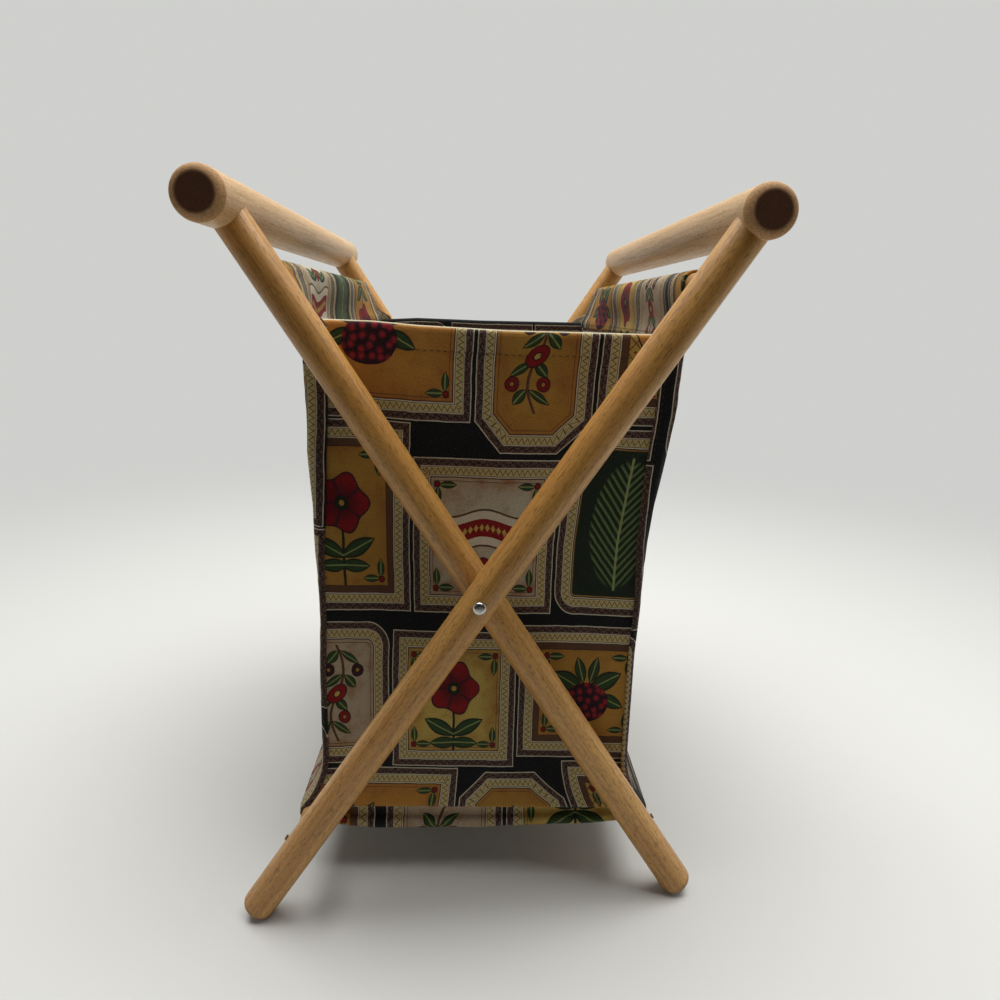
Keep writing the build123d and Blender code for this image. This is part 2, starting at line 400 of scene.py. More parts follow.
# Rods: thin dowels glued into the legs. The two upper ones carry the sides of the bag, and
# the two lower ones run through its bottom corners and carry the base board.
rod_end_round = 0.0005
for node, body in (("upper_rod_left", "inner_frame"), ("upper_rod_right", "outer_frame"),
                   ("lower_rod_left", "outer_frame"), ("lower_rod_right", "inner_frame")):
    level_dowel(node + "_dowel", node, rod_end_round, leg_wood, body)

# Rivets: one nickel-plated rivet through each pair of legs, its domed head outside and its
# end clinched over a burr inside, with a plain steel spacer between the legs.
head_radius = 0.0031
head_height = 0.0019
head_edge = 0.0004
dome_steps = 8
dome_fullness = 0.6
turning_steps = 48
shank_radius = 0.0017
clinch_radius = 0.0024
clinch_outline = ((0, 0), (clinch_radius * 0.7, 0.0002), (clinch_radius, 0.0006), (shank_radius, 0.0009))


def metal(name, colour, roughness, wear):
    """Plated metal, dulled unevenly, with fine rubbed marks."""
    material, tree, shader = new_material(name)
    dull = between(noise_on(add_node(tree, "TexCoord")["Object"], 900, 4, 0.6), 0.35, 0.7)
    tarnished = [channel * wear for channel in linear(colour)[:3]] + [1.0]
    plug(shader, {"Metallic": 1.0, "Base Color": dye(dull, colour, tarnished),
                  "Roughness": dull * 0.2 + roughness})
    return material


def finish_node(node, material):
    """Give a CAD piece, which stays as it is, the material of the real one."""
    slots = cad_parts[node].data.materials
    slots.clear()
    slots.append(material)


nickel = metal("nickel_plate", (196, 194, 188), 0.16, 0.86)
steel = metal("plain_steel", (150, 148, 144), 0.35, 0.6)
for end, way in (("near", -1), ("far", 1)):
    low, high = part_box("pivot_rivet_" + end)
    crown, inside = (low.y, high.y) if way < 0 else (high.y, low.y)
    head_start = abs(crown - inside) - head_height
    outline = [*clinch_outline, (shank_radius, head_start), (head_radius, head_start),
               (head_radius, head_start + head_edge)]
    for step in range(1, dome_steps + 1):
        angle = radians(90 * step / dome_steps)
        rise = head_edge + (head_height - head_edge) * sin(angle)
        outline.append((head_radius * cos(angle) ** dome_fullness, head_start + rise))
    turned = spun([(r, inside + way * h, pivot.z) for r, h in outline],
                  (0, 0, pivot.z), (0, 1, 0), turning_steps)
    bmesh.ops.recalc_face_normals(turned, faces=turned.faces)
    rivet = finished("rivet_" + end, turned, nickel)
    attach(rivet, "pivots")
    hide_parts("pivot_rivet_" + end)
    for washer in ("leg_spacer_", "rivet_burr_"):
        finish_node(washer + end, steel)

# Brads: small round-headed nails that pin the lower rods in the legs, driven home and
# varnished over with the wood.
brad_metal = metal("varnished_brad", (140, 104, 60), 0.5, 0.5)
for node in ("rod_brads_outer", "rod_brads_inner"):
    finish_node(node, brad_metal)

# Bag cloth: a printed cotton, one long strip for the sides and bottom and a panel at each
# end, sewn together with the seams about a centimetre round on the end faces. It hangs from
# the upper rods, narrows to a waist and flares out again over the lower rods.
cloth = 0.0011
weave_step = 0.0032
sides = {"left": -1, "right": 1}
ends = {"near": -1, "far": 1}
rim_low, rim_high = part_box("end_panel_near")
bag_end = -rim_low.y
rim_height = rim_high.z
rod_low, rod_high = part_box("upper_rod_right")
rod_x = (rod_low.x + rod_high.x) / 2
rod_z = (rod_low.z + rod_high.z) / 2
rod_radius = (rod_high.x - rod_low.x) / 2
low_rod_low, low_rod_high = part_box("lower_rod_right")
low_rod_x = (low_rod_low.x + low_rod_high.x) / 2
low_rod_z = (low_rod_low.z + low_rod_high.z) / 2
rod_gap = 0.0004
facing_room = 0.0008
wrap_radius = rod_radius + rod_gap + cloth / 2 + facing_room
hem_low = rim_height - 0.004
waist = 0.0789
waist_low = 0.072
waist_high = 0.150
leave_angle = radians(28)
wall_low = low_rod_z + wrap_radius * sin(leave_angle)
pucker = 0.0005

# How far each corner is drawn in from the wall, by height: the end panels are narrower
# than the rods are apart, and the near one is pulled over to the right.
far_pull = ((0.200, 0), (0.250, 0.004), (0.289, 0.010), (0.300, 0.0045), (0.309, 0))
corner_pulls = {
    ("left", "near"): ((0.120, 0), (0.146, 0.001), (0.180, 0.0004), (0.23, 0.0014), (0.273, 0.006),
                       (0.289, 0.0095), (0.300, 0.0045), (0.309, 0)),
    ("right", "near"): ((0.130, 0), (0.154, -0.0012), (0.189, -0.0012), (0.234, -0.0045),
                        (0.250, -0.0055), (0.279, -0.0032), (0.300, -0.0008), (0.309, 0)),
    ("left", "far"): far_pull,
    ("right", "far"): far_pull,
}
# How far the rim of each end rises from its mean height, from left to right.
rim_rises = {
    "near": ((-0.08, 0.0022), (-0.05, 0.0018), (-0.03, 0.0004), (0.01, -0.0009), (0.08, -0.001)),
    "far": ((-0.08, -0.001), (-0.05, 0.001), (-0.02, 0.0006), (0, 0.0003), (0.08, 0.0006)),
}


def eased(value, low, high):
    """How far a value has come from low to high, smoothly, from 0 to 1."""
    share = min(max((value - low) / (high - low), 0), 1)
    return share * share * (3 - 2 * share)


def read_off(value, table):
    """A value read off between the rows of a table, in straight steps."""
    if value <= table[0][0]:
        return table[0][1]
    for (low, first), (high, second) in zip(table, table[1:]):
        if value <= high:
            return first + (second - first) * (value - low) / (high - low)
    return table[-1][1]


def unrolled(path):
    """A path's two coordinates as tables to read off by the distance along it, and its length."""
    lengths = [0.0]
    for first, second in zip(path, path[1:]):
        lengths.append(lengths[-1] + dist(first, second))
    tables = [[(length, point[part]) for length, point in zip(lengths, path)] for part in (0, 1)]
    return *tables, lengths[-1]


def wall_x(z):
    """Half the bag's width at a height, at the middle of the side cloth."""
    if z <= wall_low:
        drop = min(max((z - low_rod_z) / wrap_radius, -1), 1)
        return low_rod_x + wrap_radius * sqrt(1 - drop * drop)
    if z <= waist_low:
        start = low_rod_x + wrap_radius * cos(leave_angle)
        share = (z - wall_low) / (waist_low - wall_low)
        return waist + (start - waist) * (1 - share) ** 2
    if z <= waist_high:
        return waist
    reach = rod_x - waist
    return waist + reach * ((z - waist_high) / (rod_z - waist_high)) ** 2


def corner_x(side, end, z):
    """Where the cloth of a side turns the corner onto an end, at a height."""
    return sides[side] * (wall_x(z) - read_off(z, corner_pulls[side, end]))


def side_x(side, y, z):
    """The middle of a side's cloth, drawn in towards its two corners."""
    end = "near" if y < 0 else "far"
    near_corner = eased(abs(y), 0.055, bag_end)
    wave = 0.0024 * noise.noise(Vector((y * 16, z * 8, 4.0 + sides[side])))
    wave += 0.0009 * noise.noise(Vector((y * 55, z * 20 + y * 12, 6.0 + sides[side])))
    wave *= (1 - near_corner) * eased(z, 0.055, 0.10) * (1 - eased(z, 0.285, 0.305))
    by_hem = exp(-((z - hem_low) / 0.007) ** 2)
    by_seam = exp(-((bag_end - abs(y)) / 0.008) ** 2) * eased(z, 0.05, 0.07)
    drawn = noise.noise(Vector((y * 150, z * 150, 2.0 + sides[side])))
    wave += pucker * (by_hem + by_seam) * drawn
    wall = sides[side] * wall_x(z)
    return wall + (corner_x(side, end, z) - wall) * near_corner + wave


def end_dent(end, x, z):
    """How far an end's cloth hangs in from the flat, in soft folds that fade at its edges."""
    fade = 1 - eased(abs(x), 0.050, 0.078)
    fade *= eased(z, 0.035, 0.075) * (1 - 0.5 * eased(z, 0.26, 0.288))
    folds = noise.noise(Vector((x * 14, z * 8, 1.7 + 5 * ends[end])))
    folds += 0.4 * noise.noise(Vector((x * 40, z * 22, 9.3 + ends[end])))
    return fade * (0.0016 + 0.0022 * folds)


def rim_z(end, x):
    """Height of the rim along an end."""
    return rim_height + read_off(x, rim_rises[end])


# Print: framed panels on a dark ground, each with a picture on toned paper, printed in a tile
# that repeats over the flat cloth. Its lengths are in millimetres. A picture is a series of
# layers, each a mask and a colour, drawn about the middle of its panel.
gold = (182, 136, 56)
straw = (200, 172, 88)
oyster = (196, 190, 166)
apricot = (192, 134, 56)
plum = (58, 16, 32)
red = (138, 14, 22)
leaf_green = (44, 68, 34)
bottle = (24, 38, 24)
navy = (4, 6, 13)
ink = (34, 22, 18)
cream = (196, 178, 122)
pale = (218, 210, 186)
tan = (92, 62, 42)
tile = (228, 262)
frame_width = 9.2
inner_band = 3.4
ruled_line = 11.2
diagonal = 0.7071


def joined(x, y):
    """A flat place from its x and y."""
    return add_node(x.tree, "CombineXYZ", [x, y])


def leaves(across, up, *shapes):
    """Pointed leaves with dark edges and pale midribs: centre, turn, length and width."""
    for centre_x, centre_y, turn, long, thin in shapes:
        spot = reckon_place("SUBTRACT", joined(across, up), (centre_x, centre_y, 0))
        spot = add_node(spot.tree, "VectorRotate", {"Vector": spot, "Angle": turn},
                        rotation_type="Z_AXIS")
        beside, ahead, _ = split(spot)
        beside = abs(beside)
        edge = beside / thin + abs(ahead / long) ** 2
        yield between(edge, 1.25, 1.10), bottle
        yield between(edge, 0.95, 0.85), dye(between(beside, 0.45, 0.25), leaf_green, (134, 146, 84))


def spots(across, up, *shapes):
    """Round spots with dark rims: centre, radius and colour."""
    for centre_x, centre_y, radius, colour in shapes:
        away = reckon_place("DISTANCE", joined(across, up), (centre_x, centre_y, 0))["Value"]
        yield between(away, radius, radius - 0.3), ink
        yield between(away, radius - 0.6, radius - 0.9), colour


def poppy(x, y, depth):
    """One broad open flower on a stem, with leaves to each side below it."""
    wide = abs(x)
    yield between(wide, 0.9, 0.6) * between(y, 2.0, 0.0), bottle
    yield from leaves(wide, y, (8, -15, 1.1, 10, 3.6), (6, -24, 1.6, 8, 3.0))
    risen = y - 7.0
    petals = reckon("COSINE", reckon("ARCTAN2", risen, x) * 5.0)
    away = reckon_place("LENGTH", joined(x, risen))["Value"]
    bloom = away - petals * 1.6
    shaded = dye(between(away, 4.0, 12.0), (96, 10, 22), red)
    yield between(bloom, 14.2, 13.8), plum
    yield between(bloom, 13.2, 12.9), dye(between(petals, -0.75, -0.97) * 0.8, shaded, plum)
    yield from spots(x, risen, (0, 0, 4.0, bottle), (0, 0, 2.2, gold))


def ribbon(x, y, depth):
    """A waved red band with pale edges and a row of diamonds, over two pairs of leaves."""
    wide = abs(x)
    off = abs(y - 3.0 - reckon("COSINE", x * 0.16) * 2.0)
    for thick, long, colour in ((9.6, 26.4, tan), (8.6, 25.4, pale), (4.6, 23.4, red)):
        yield between(off, thick, thick - 0.3) * between(wide, long, long - 0.4), colour
    gem = abs(reckon("PINGPONG", x, 3.2) - 1.6) + off * 0.7
    yield between(gem, 1.5, 1.2) * between(wide, 21.0, 20.6), straw
    yield from leaves(wide, y, (7, -13, 1.2, 6.5, 2.6), (15, -13, 1.9, 6, 2.2))
    yield from spots(x, y, (0, -14, 4.2, red))


def fern(x, y, depth):
    """One frond of paired leaflets that nearly fills a dark field."""
    wide, high = abs(x), abs(y)
    slope = reckon("PINGPONG", y - wide * 1.15, 2.3)
    frond = (high / 33.0) ** 2 + (wide / 17.0) ** 2
    yield between(depth, 9.8, 10.4), bottle
    yield between(slope, 1.5, 0.9) * between(frond, 1.0, 0.9), (72, 96, 54)
    yield between(slope, 0.5, 0.2) * between(frond, 0.9, 0.8), (120, 138, 84)
    yield between(wide, 0.8, 0.5) * between(high, 34.0, 33.0), (146, 156, 98)


def berries(x, y, depth):
    """A heavy cluster of round berries under three pairs of leaves."""
    yield from leaves(abs(x), y, (11, 7, 1.1, 10, 4.2), (15, -4, 2.0, 8, 3.2), (4, 13, 0.3, 7, 2.8))
    bunch = between((x / 13.5) ** 2 + ((y + 5.0) / 11.0) ** 2, 1.05, 1.0)
    cells = {"Vector": joined(x, y), "Scale": 0.21, "Randomness": 0.55}
    berry = add_node(x.tree, "TexVoronoi", cells, voronoi_dimensions="2D")["Distance"]
    yield bunch, (44, 12, 26)
    yield bunch * between(berry, 0.52, 0.44), dye(between(berry, 0.12, 0.46), (158, 36, 48), plum)


def blossom(x, y, depth):
    """A bent twig with small leaves to each side and five pale-eyed flowers."""
    high = abs(y)
    bend = x - reckon("SINE", y * 0.12) * 4.0
    paired = abs(bend)
    repeat = reckon("FRACT", y / 13.0) * 13.0 - 6.5
    yield between(paired, 0.9, 0.6) * between(high, 27.0, 26.5), tan
    for mask, colour in leaves(paired, repeat, (5.0, 0.5, -0.9, 5.4, 2.1)):
        yield mask * between(high, 26.2, 26.0), colour
    yield from spots(bend, y, (0, 0, 5.6, red), (0, 0, 2.2, straw))
    yield from spots(paired, y, (8.5, 13, 3.8, plum), (8.5, 13, 1.7, gold),
                     (8.0, -13, 3.8, red), (8.0, -13, 1.7, gold))


def lattice(x, y, depth):
    """Crossed lines with a dot in each diamond, and a lozenge in the middle."""
    high = abs(y)
    line = reckon("MINIMUM", reckon("PINGPONG", x + y, 4.0), reckon("PINGPONG", x - y, 4.0))
    lozenge = abs(x) + high * 0.55
    yield between(line, 0.55, 0.3) * 0.8, tan
    yield between(line, 3.0, 3.4), red
    yield between(lozenge, 12.6, 12.3), ink
    yield between(lozenge, 11.8, 11.5), apricot
    yield from leaves(x, high, (0, 6.5, 0.0, 7.5, 3.0))
    yield from spots(x, y, (0, 0, 3.4, plum))


# Each panel has its centre, its half size, the cut of its corners (above 0 cut off, below 0
# rounded), its paper's colour, its picture and whether its frame has an inner band.
panels = (
    ((40, 50), (37, 47), 0, gold, poppy, 1),
    ((119, 42), (40, 39), 0, oyster, ribbon, 0),
    ((195, 50), (34, 47), -12, straw, fern, 0),
    ((56, 138), (51, 40), 0, apricot, berries, 0),
    ((139, 130), (30, 46), 15, gold, blossom, 0),
    ((199, 141), (28, 42), 0, straw, lattice, 1),
    ((34, 220), (31, 39), -14, oyster, blossom, 0),
    ((104, 217), (37, 38), 0, straw, poppy, 0),
    ((184, 222), (41, 37), 0, gold, berries, 1),
)


def in_panel(place, centre, half, corner):
    """Place in one panel of the print, distance out from its edge, and place along its frame."""
    span = (tile[0] / 2, tile[1] / 2, 1)
    local = reckon_place("SUBTRACT", place, (*centre, 0))
    local = reckon_place("WRAP", local, span, [-size for size in span])
    out = reckon_place("SUBTRACT", reckon_place("ABSOLUTE", local), (*half, 0))
    out_x, out_y, _ = split(out)
    beyond = reckon("MAXIMUM", out_x, out_y)
    if corner > 0:
        beyond = reckon("MAXIMUM", beyond, (out_x + out_y + corner) * diagonal)
    if corner < 0:
        past = reckon_place("MAXIMUM", reckon_place("ADD", out, (-corner, -corner, 0)), (0, 0, -9))
        past = reckon_place("LENGTH", reckon_place("MULTIPLY", past, (1, 1, 0)))["Value"]
        beyond = reckon("MAXIMUM", beyond, past + corner)
    x, y, _ = split(local)
    upright = reckon("GREATER_THAN", out_x, out_y)
    return local, beyond, y * upright + x * (1.0 - upright)


def by_panel(index, colours):
    """A colour for each panel, by its number."""
    made = add_node(index.tree, "ValToRGB", [(index + 0.5) / len(colours)])
    ramp = made.node.color_ramp
    ramp.interpolation = "CONSTANT"
    while len(ramp.elements) < len(colours):
        ramp.elements.new(0.5)
    for count in range(len(colours)):
        ramp.elements[count].position = count / len(colours)
    for count, colour in enumerate(colours):
        ramp.elements[count].color = colour
    return made


def which_panels(index, marks):
    """1 in the panels that are marked, and 0 in the others."""
    return by_panel(index, [(float(mark), float(mark), float(mark), 1) for mark in marks])


def toning(x, y, depth, has_band, blotches):
    """Paper that browns towards its edges, with a ruled line and engraved hatching."""
    yield (between(depth, 24.0, 10.0) + between(blotches, 0.45, 0.75)) * 0.42, (158, 96, 40)
    rule = between(abs(depth - ruled_line), 0.28, 0.14) * between(has_band, 0.6, 0.4)
    yield rule * 0.8, tan
    hatch = between(reckon("SINE", (x + y) * 5.2), 0.3, 0.9) * between(blotches, 0.4, 0.62)
    yield hatch * 0.25, tan


def sprigs(x, y, index, has_band):
    """Two small leaves and a dot in each corner of a panel."""
    half_sizes = by_panel(index, [(half[0] / 100, half[1] / 100, 0, 1) for _, half, *_ in panels])
    in_x, in_y = [whole * 100.0 - part - has_band * inner_band
                  for whole, part in zip(split(half_sizes), (abs(x), abs(y)))]
    yield from leaves(in_x, in_y, (13.2, 18.5, 0.0, 4.6, 1.7), (18.5, 13.2, pi / 2, 4.6, 1.7))
    yield from spots(in_x, in_y, (12.8, 12.8, 1.9, red))


def frames(depth, along, has_band, specks, field):
    """Fine lines, a speckled scroll and a cream zigzag round the field, from the outside in."""
    zigzag = abs(reckon("PINGPONG", along, 1.5) * 1.7 + 5.0 - depth)
    zigzag = dye(between(zigzag, 0.52, 0.22), cream, tan)
    speckled = dye(between(specks, 0.47, 0.55), (118, 90, 76), (30, 18, 20))
    scroll = abs(depth - (reckon("SINE", along * 1.35) * 0.75 + 2.2))
    scroll = between(scroll, 0.62, 0.34) * between(specks, 0.36, 0.5)
    speckled = dye(scroll, speckled, (34, 20, 24))
    for start, band in ((0.0, pale), (0.45, speckled), (3.9, pale), (4.3, ink), (4.5, zigzag),
                        (8.2, ink), (8.5, pale), (9.0, tan)):
        yield between(depth, start - 0.12, start + 0.12), band
    past = depth - (has_band * inner_band + frame_width)
    yield between(past, 0.0, 0.3), ink
    yield between(past, 0.3, 0.5), field


def wear(place):
    """Slubs that took less dye, and pale lint."""
    yield between(noise_on(place, 1.5, 3, 0.7), 0.42, 0.72) * 0.45, (20, 14, 12)
    yield between(noise_on(place, 1.9, 2, 0.6), 0.58, 0.78) * 0.22, (196, 184, 150)


def layered(colour, layers, only=1.0):
    """A colour with layers over it, each a mask and a colour, where only is 1."""
    for mask, over in layers:
        colour = dye(mask * only, colour, over)
    return colour


def printed_cotton(name):
    """The print on plain-woven cotton, with a fine weave."""
    material, tree, shader = new_material(name)
    flat = add_node(tree, "Attribute", attribute_name="flat_place")["Vector"]
    place = reckon_place("MULTIPLY", flat, (1000, 1000, 0))
    wobble = reckon_place("SUBTRACT", noise_on(place, 0.12, 2)["Color"], (0.5, 0.5, 0.5))
    place = reckon_place("ADD", place, reckon_place("MULTIPLY", wobble, (0.8, 0.8, 0)))
    found = [in_panel(place, *panel[:3]) for panel in panels]
    (local, beyond, along), index = found[0], 0.0
    for number, (other_local, other_beyond, other_along) in enumerate(found[1:], 1):
        nearer = reckon("LESS_THAN", other_beyond, beyond)
        beyond = reckon("MINIMUM", other_beyond, beyond)
        local = mixed(nearer, local, other_local, "VECTOR")
        along = mixed(nearer, along, other_along)
        index = mixed(nearer, index, float(number))
    depth = beyond * -1.0
    x, y, _ = split(local)
    _, _, corners, papers, pictures, bands = zip(*panels)
    has_band = which_panels(index, bands)
    field = by_panel(index, [linear(colour) for colour in papers])
    field = layered(field, toning(x, y, depth, has_band, noise_on(place, 0.09, 4, 0.65)))
    square = which_panels(index, [corner == 0 for corner in corners])
    field = layered(field, sprigs(x, y, index, has_band), square)
    for picture in (poppy, ribbon, fern, berries, blossom, lattice):
        only = which_panels(index, [drawn is picture for drawn in pictures])
        field = layered(field, picture(x, y, depth), only)
    colour = layered(navy, frames(depth, along, has_band, noise_on(place, 1.3, 4, 0.75), field))
    # Painted highlight: a pale line painted along the top of the near rim's fold.
    edge = add_node(tree, "Attribute", attribute_name="rim_highlight_paint")["Fac"]
    colour = dye(between(edge, 0.4, 0.7), colour, (204, 194, 164))
    plug(shader, {"Base Color": layered(colour, wear(place)), "Roughness": 0.88,
                  "Sheen Weight": 0.06, "Sheen Roughness": 0.5, "Specular IOR Level": 0.25})
    threads = reckon_place("SINE", reckon_place("MULTIPLY", flat, (9000, 9000, 0)))
    warp, weft, _ = split(threads)
    emboss(shader, warp * weft, 0.6, 0.0001)
    return material


def cloth_sheet(name, width, length, step, place, print_start, thickness=cloth):
    """A fine flat grid of the cloth bent to shape point by point, with its flat place kept."""
    flat = bmesh.new()
    bmesh.ops.create_grid(flat, x_segments=max(2, round(width / step)),
                          y_segments=max(2, round(length / step)), size=0.5)
    flat_place = flat.verts.layers.float_vector.new("flat_place")
    # Each point also keeps how much painted highlight its place gives it, 0 where none.
    rim_highlight_paint = flat.verts.layers.float.new("rim_highlight_paint")
    for vert in flat.verts:
        across, along = vert.co.x * width, vert.co.y * length
        *spot, vert[rim_highlight_paint] = (*place(across, along), 0.0)[:4]
        vert.co = spot
        vert[flat_place] = Vector((across, along, 0)) + Vector((*print_start, 0))
    bmesh.ops.remove_doubles(flat, verts=flat.verts, dist=merge_within)
    for face in flat.faces:
        face.smooth = True
    piece = finished(name, flat, printed_cloth)
    wall = piece.modifiers.new("cloth_thickness", "SOLIDIFY")
    wall.thickness = thickness
    wall.offset = 0
    return piece


printed_cloth = printed_cotton("printed_cotton")

# Side panels: each side of the long strip, from the wrap round a lower rod up to the hem
# at the upper rod. Its ends turn the corners and lie on the end panels up to their seams.
corner_round = 0.003
seam_wrap = 0.0105
low_seam_wrap = 0.0032
wrap_low = 0.150
wrap_high = 0.262
overlap = 0.0008
side_allowance = 0.003
arc_steps = 14
wall_steps = 76
panel_top = rod_z - rod_radius - 0.002
bags = {"left": "bag_side_left", "right": "bag_side_right"}
side_print = {"left": (0.1475, 0.33), "right": (0.139, 0.12)}


def wrap_width(z):
    """How far a side's cloth reaches round onto an end, at a height."""
    wide = low_seam_wrap + (seam_wrap - low_seam_wrap) * eased(z, wrap_low, wrap_high)
    return wide * (1 - 0.95 * eased(z, rim_height, rim_height + 0.011))


def side_half(z):
    """How much cloth runs from the middle of a side to its edge, at a height."""
    return bag_end - corner_round + pi / 2 * corner_round + wrap_width(z) - corner_round


def round_corner(side, distance, z):
    """A point on a side's cloth, by its distance along the side from the middle."""
    end = "near" if distance < 0 else "far"
    straight = bag_end - corner_round
    beyond = abs(distance) - straight
    if beyond <= 0:
        return Vector((side_x(side, distance, z), distance, z))
    turn = pi / 2 * corner_round
    if beyond < turn:
        angle = beyond / corner_round
        inward = corner_round * (1 - cos(angle))
        out = straight + (corner_round + overlap) * sin(angle)
    else:
        inward = beyond - turn + corner_round
        out = bag_end + overlap * (1 - 0.7 * eased(inward, corner_round, seam_wrap))
    return Vector((corner_x(side, end, z) - sides[side] * inward, ends[end] * out, z))


wall_path = []
for step in range(arc_steps + 1):
    angle = -pi / 2 + (leave_angle + pi / 2) * (step / arc_steps)
    wall_path.append((low_rod_x + wrap_radius * cos(angle), low_rod_z + wrap_radius * sin(angle)))
for step in range(1, wall_steps + 1):
    height = wall_low + (panel_top - wall_low) * step / wall_steps
    wall_path.append((wall_x(height), height))
_, height_at, strip_height = unrolled(wall_path)
side_width = 2 * (bag_end + seam_wrap - corner_round + (pi / 2 - 1) * corner_round + side_allowance)


def side_place(side, across, along):
    """Where a point of a side's flat cloth hangs."""
    z = read_off(along + strip_height / 2, height_at)
    return round_corner(side, across / (side_width / 2) * side_half(z), z)


for side in sides:
    panel = cloth_sheet("side_cloth_" + side, side_width, strip_height, weave_step,
                        partial(side_place, side), side_print[side])
    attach(panel, bags[side])
    sides[side] * rod_x
    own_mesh(panel)
    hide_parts("side_panel_" + side)

# Rod hems: the top of each side turned over its upper rod and stitched down below it, so
# that the rod runs through a sleeve.
sleeve_radius = rod_radius + 0.0003 + cloth / 2
hem_gap = 0.0013
hem_beyond = 0.0004
hem_closed = 0.020
hem_turn_length = pi * sleeve_radius
hem_length = 2 * (rod_z - hem_low) + hem_turn_length
hem_print = {"left": (0.18, 0.022), "right": (0.104, 0.2395)}


def hem_out(z, gap):
    """How far a leaf of a hem stands off the side's cloth, at a height below the rod."""
    return sleeve_radius + (gap - sleeve_radius) * eased(rod_z - z, 0, hem_closed)


def hem_place(side, across, along):
    """Where a point of a hem's flat cloth lies, over the rod or down beside the panel."""
    y = across / bag_end * (bag_end + hem_beyond)
    past = abs(along) - hem_turn_length / 2
    if past <= 0:
        angle = along / sleeve_radius
        return sides[side] * rod_x + sleeve_radius * sin(angle), y, rod_z + sleeve_radius * cos(angle)
    face = 1 if along > 0 else -1
    z = rod_z - past
    return side_x(side, y, z) + face * hem_out(z, hem_gap), y, z


for side in sides:
    hem = cloth_sheet("rod_hem_" + side, 2 * bag_end, hem_length, weave_step * 0.6,
                      partial(hem_place, side), hem_print[side])
    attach(hem, bags[side])
    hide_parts("rod_sleeve_" + side)

# End panels: a shaped piece at each end, sewn between the sides and under the bottom's
# turned-up edge. The rim is turned over the lining in a hem, and a pale painted highlight
# runs along the top of the near rim's fold.
end_thickness = 0.001
end_half = 0.0925
end_width = 2 * end_half
end_foot = low_rod_z - wrap_radius + 0.001
seam_in = 0.0012
seat = 0.0006
rim_turn = 0.0013
rim_turn_length = pi * rim_turn
rim_tail = 0.012
# Painted highlight: how strongly a pale line is painted along the top of the near rim's fold, and
# between which angles of the fold it lies.
rim_highlight_strength = 0.8
rim_highlight_turn = (0.8, 2.0)
end_rise = rim_height - end_foot
end_length = end_rise + rim_turn_length + rim_tail
end_print = {"near": (0.118, 0.02), "far": (0.03, 0.1405)}
foot_seam = 0.0412
foot_tucks = ((0, 0), (0.0006, 0.0034), (0.0014, 0.0062), (0.004, 0.0074), (0.010, 0.0078))


def foot_tuck(x, z):
    """How far the foot of an end goes in behind the bottom's edge, below their seam."""
    return (1 - eased(abs(x), 0.068, 0.084)) * read_off(foot_seam - z, foot_tucks)


def end_place(end, across, along):
    """Where a point of an end's flat cloth hangs, and how much painted highlight it gets at the top of
    the rim's fold.
    """
    up = along + end_length / 2
    z = end_foot + min(up, end_rise)
    left, right = corner_x("left", end, z) + seam_in, corner_x("right", end, z) - seam_in
    x = left + (right - left) * (across / end_width + 0.5)
    fold_z = rim_z(end, x) - rim_turn
    z = end_foot + (fold_z - end_foot) * min(up / end_rise, 1)
    y = bag_end - seat - end_dent(end, x, z) - foot_tuck(x, z)
    if up <= end_rise:
        return x, ends[end] * y, z
    angle = min((up - end_rise) / rim_turn, pi)
    z = fold_z + rim_turn * sin(angle) - max(up - end_rise - rim_turn_length, 0)
    y -= rim_turn * (1 - cos(angle))
    # Only the near rim's fold gets the painted highlight, about its top.
    in_rim_highlight = end == "near" and rim_highlight_turn[0] < angle < rim_highlight_turn[1]
    return x, ends[end] * y, z, rim_highlight_strength if in_rim_highlight else 0.0


for end in ends:
    panel = cloth_sheet("end_cloth_" + end, end_width, end_length, weave_step * 0.5,
                        partial(end_place, end), end_print[end], end_thickness)
    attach(panel, "bag_ends")
    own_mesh(panel)
    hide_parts("end_panel_" + end)
    0.9 * end_width * end_length

# Bottom: the middle of the long strip, under the two lower rods, a little slack, with its
# ends turned up a centimetre onto the end panels. The turned-up part goes by how far in
# from the end and how far up each point is, with a crease where it is stitched.
turned_up = ((0.0088, 0), (0.0052, 0.0005), (0.0034, 0.0016), (0.0026, 0.0031), (0.0032, 0.0046),
             (0.0056, 0.0053), (0.0062, 0.0070), (0.0058, 0.0084), (0.0048, 0.0098), (0.0014, 0.0134))
inset_at, rise_at, turned_length = unrolled(turned_up)
bottom_level = low_rod_z - wrap_radius
bottom_straight = bag_end - turned_up[0][0]
bottom_half = bottom_straight + turned_length
bottom_width = 2 * (low_rod_x + 0.0005)
bottom_step = 0.0018


def bottom_sag(x, y):
    """How far the bottom hangs below the rods' undersides."""
    middle = 1 - eased(abs(x), 0.05, 0.086)
    folds = noise.noise(Vector((x * 18, y * 12, 2.2)))
    lean_left = (0.0028 - 0.0024 * eased(x, -0.01, 0.05)) * eased(-y, 0.0, 0.12)
    return middle * (0.0008 + 0.0022 * eased(abs(y), 0.06, 0.12) + 0.0010 * folds) + lean_left


def bottom_place(x, along):
    """Where a point of the bottom's flat cloth hangs."""
    past = abs(along) - bottom_straight
    sag = bottom_sag(x, max(min(along, bottom_straight), -bottom_straight))
    if past <= 0:
        return x, along, bottom_level - sag
    rise = read_off(past, rise_at)
    slack = sag * (1 - rise / turned_up[-1][1])
    inset = read_off(past, inset_at) + 0.0006 * noise.noise(Vector((x * 60, rise * 90, 7.7)))
    return x, (-1 if along < 0 else 1) * (bag_end - inset), bottom_level + rise - slack


bottom = cloth_sheet("bottom_cloth", bottom_width, 2 * bottom_half, bottom_step, bottom_place,
                     (0.05, 0.07))
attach(bottom, "bag_bottom")
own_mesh(bottom)
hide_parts("bottom_panel")
2 * bottom_half

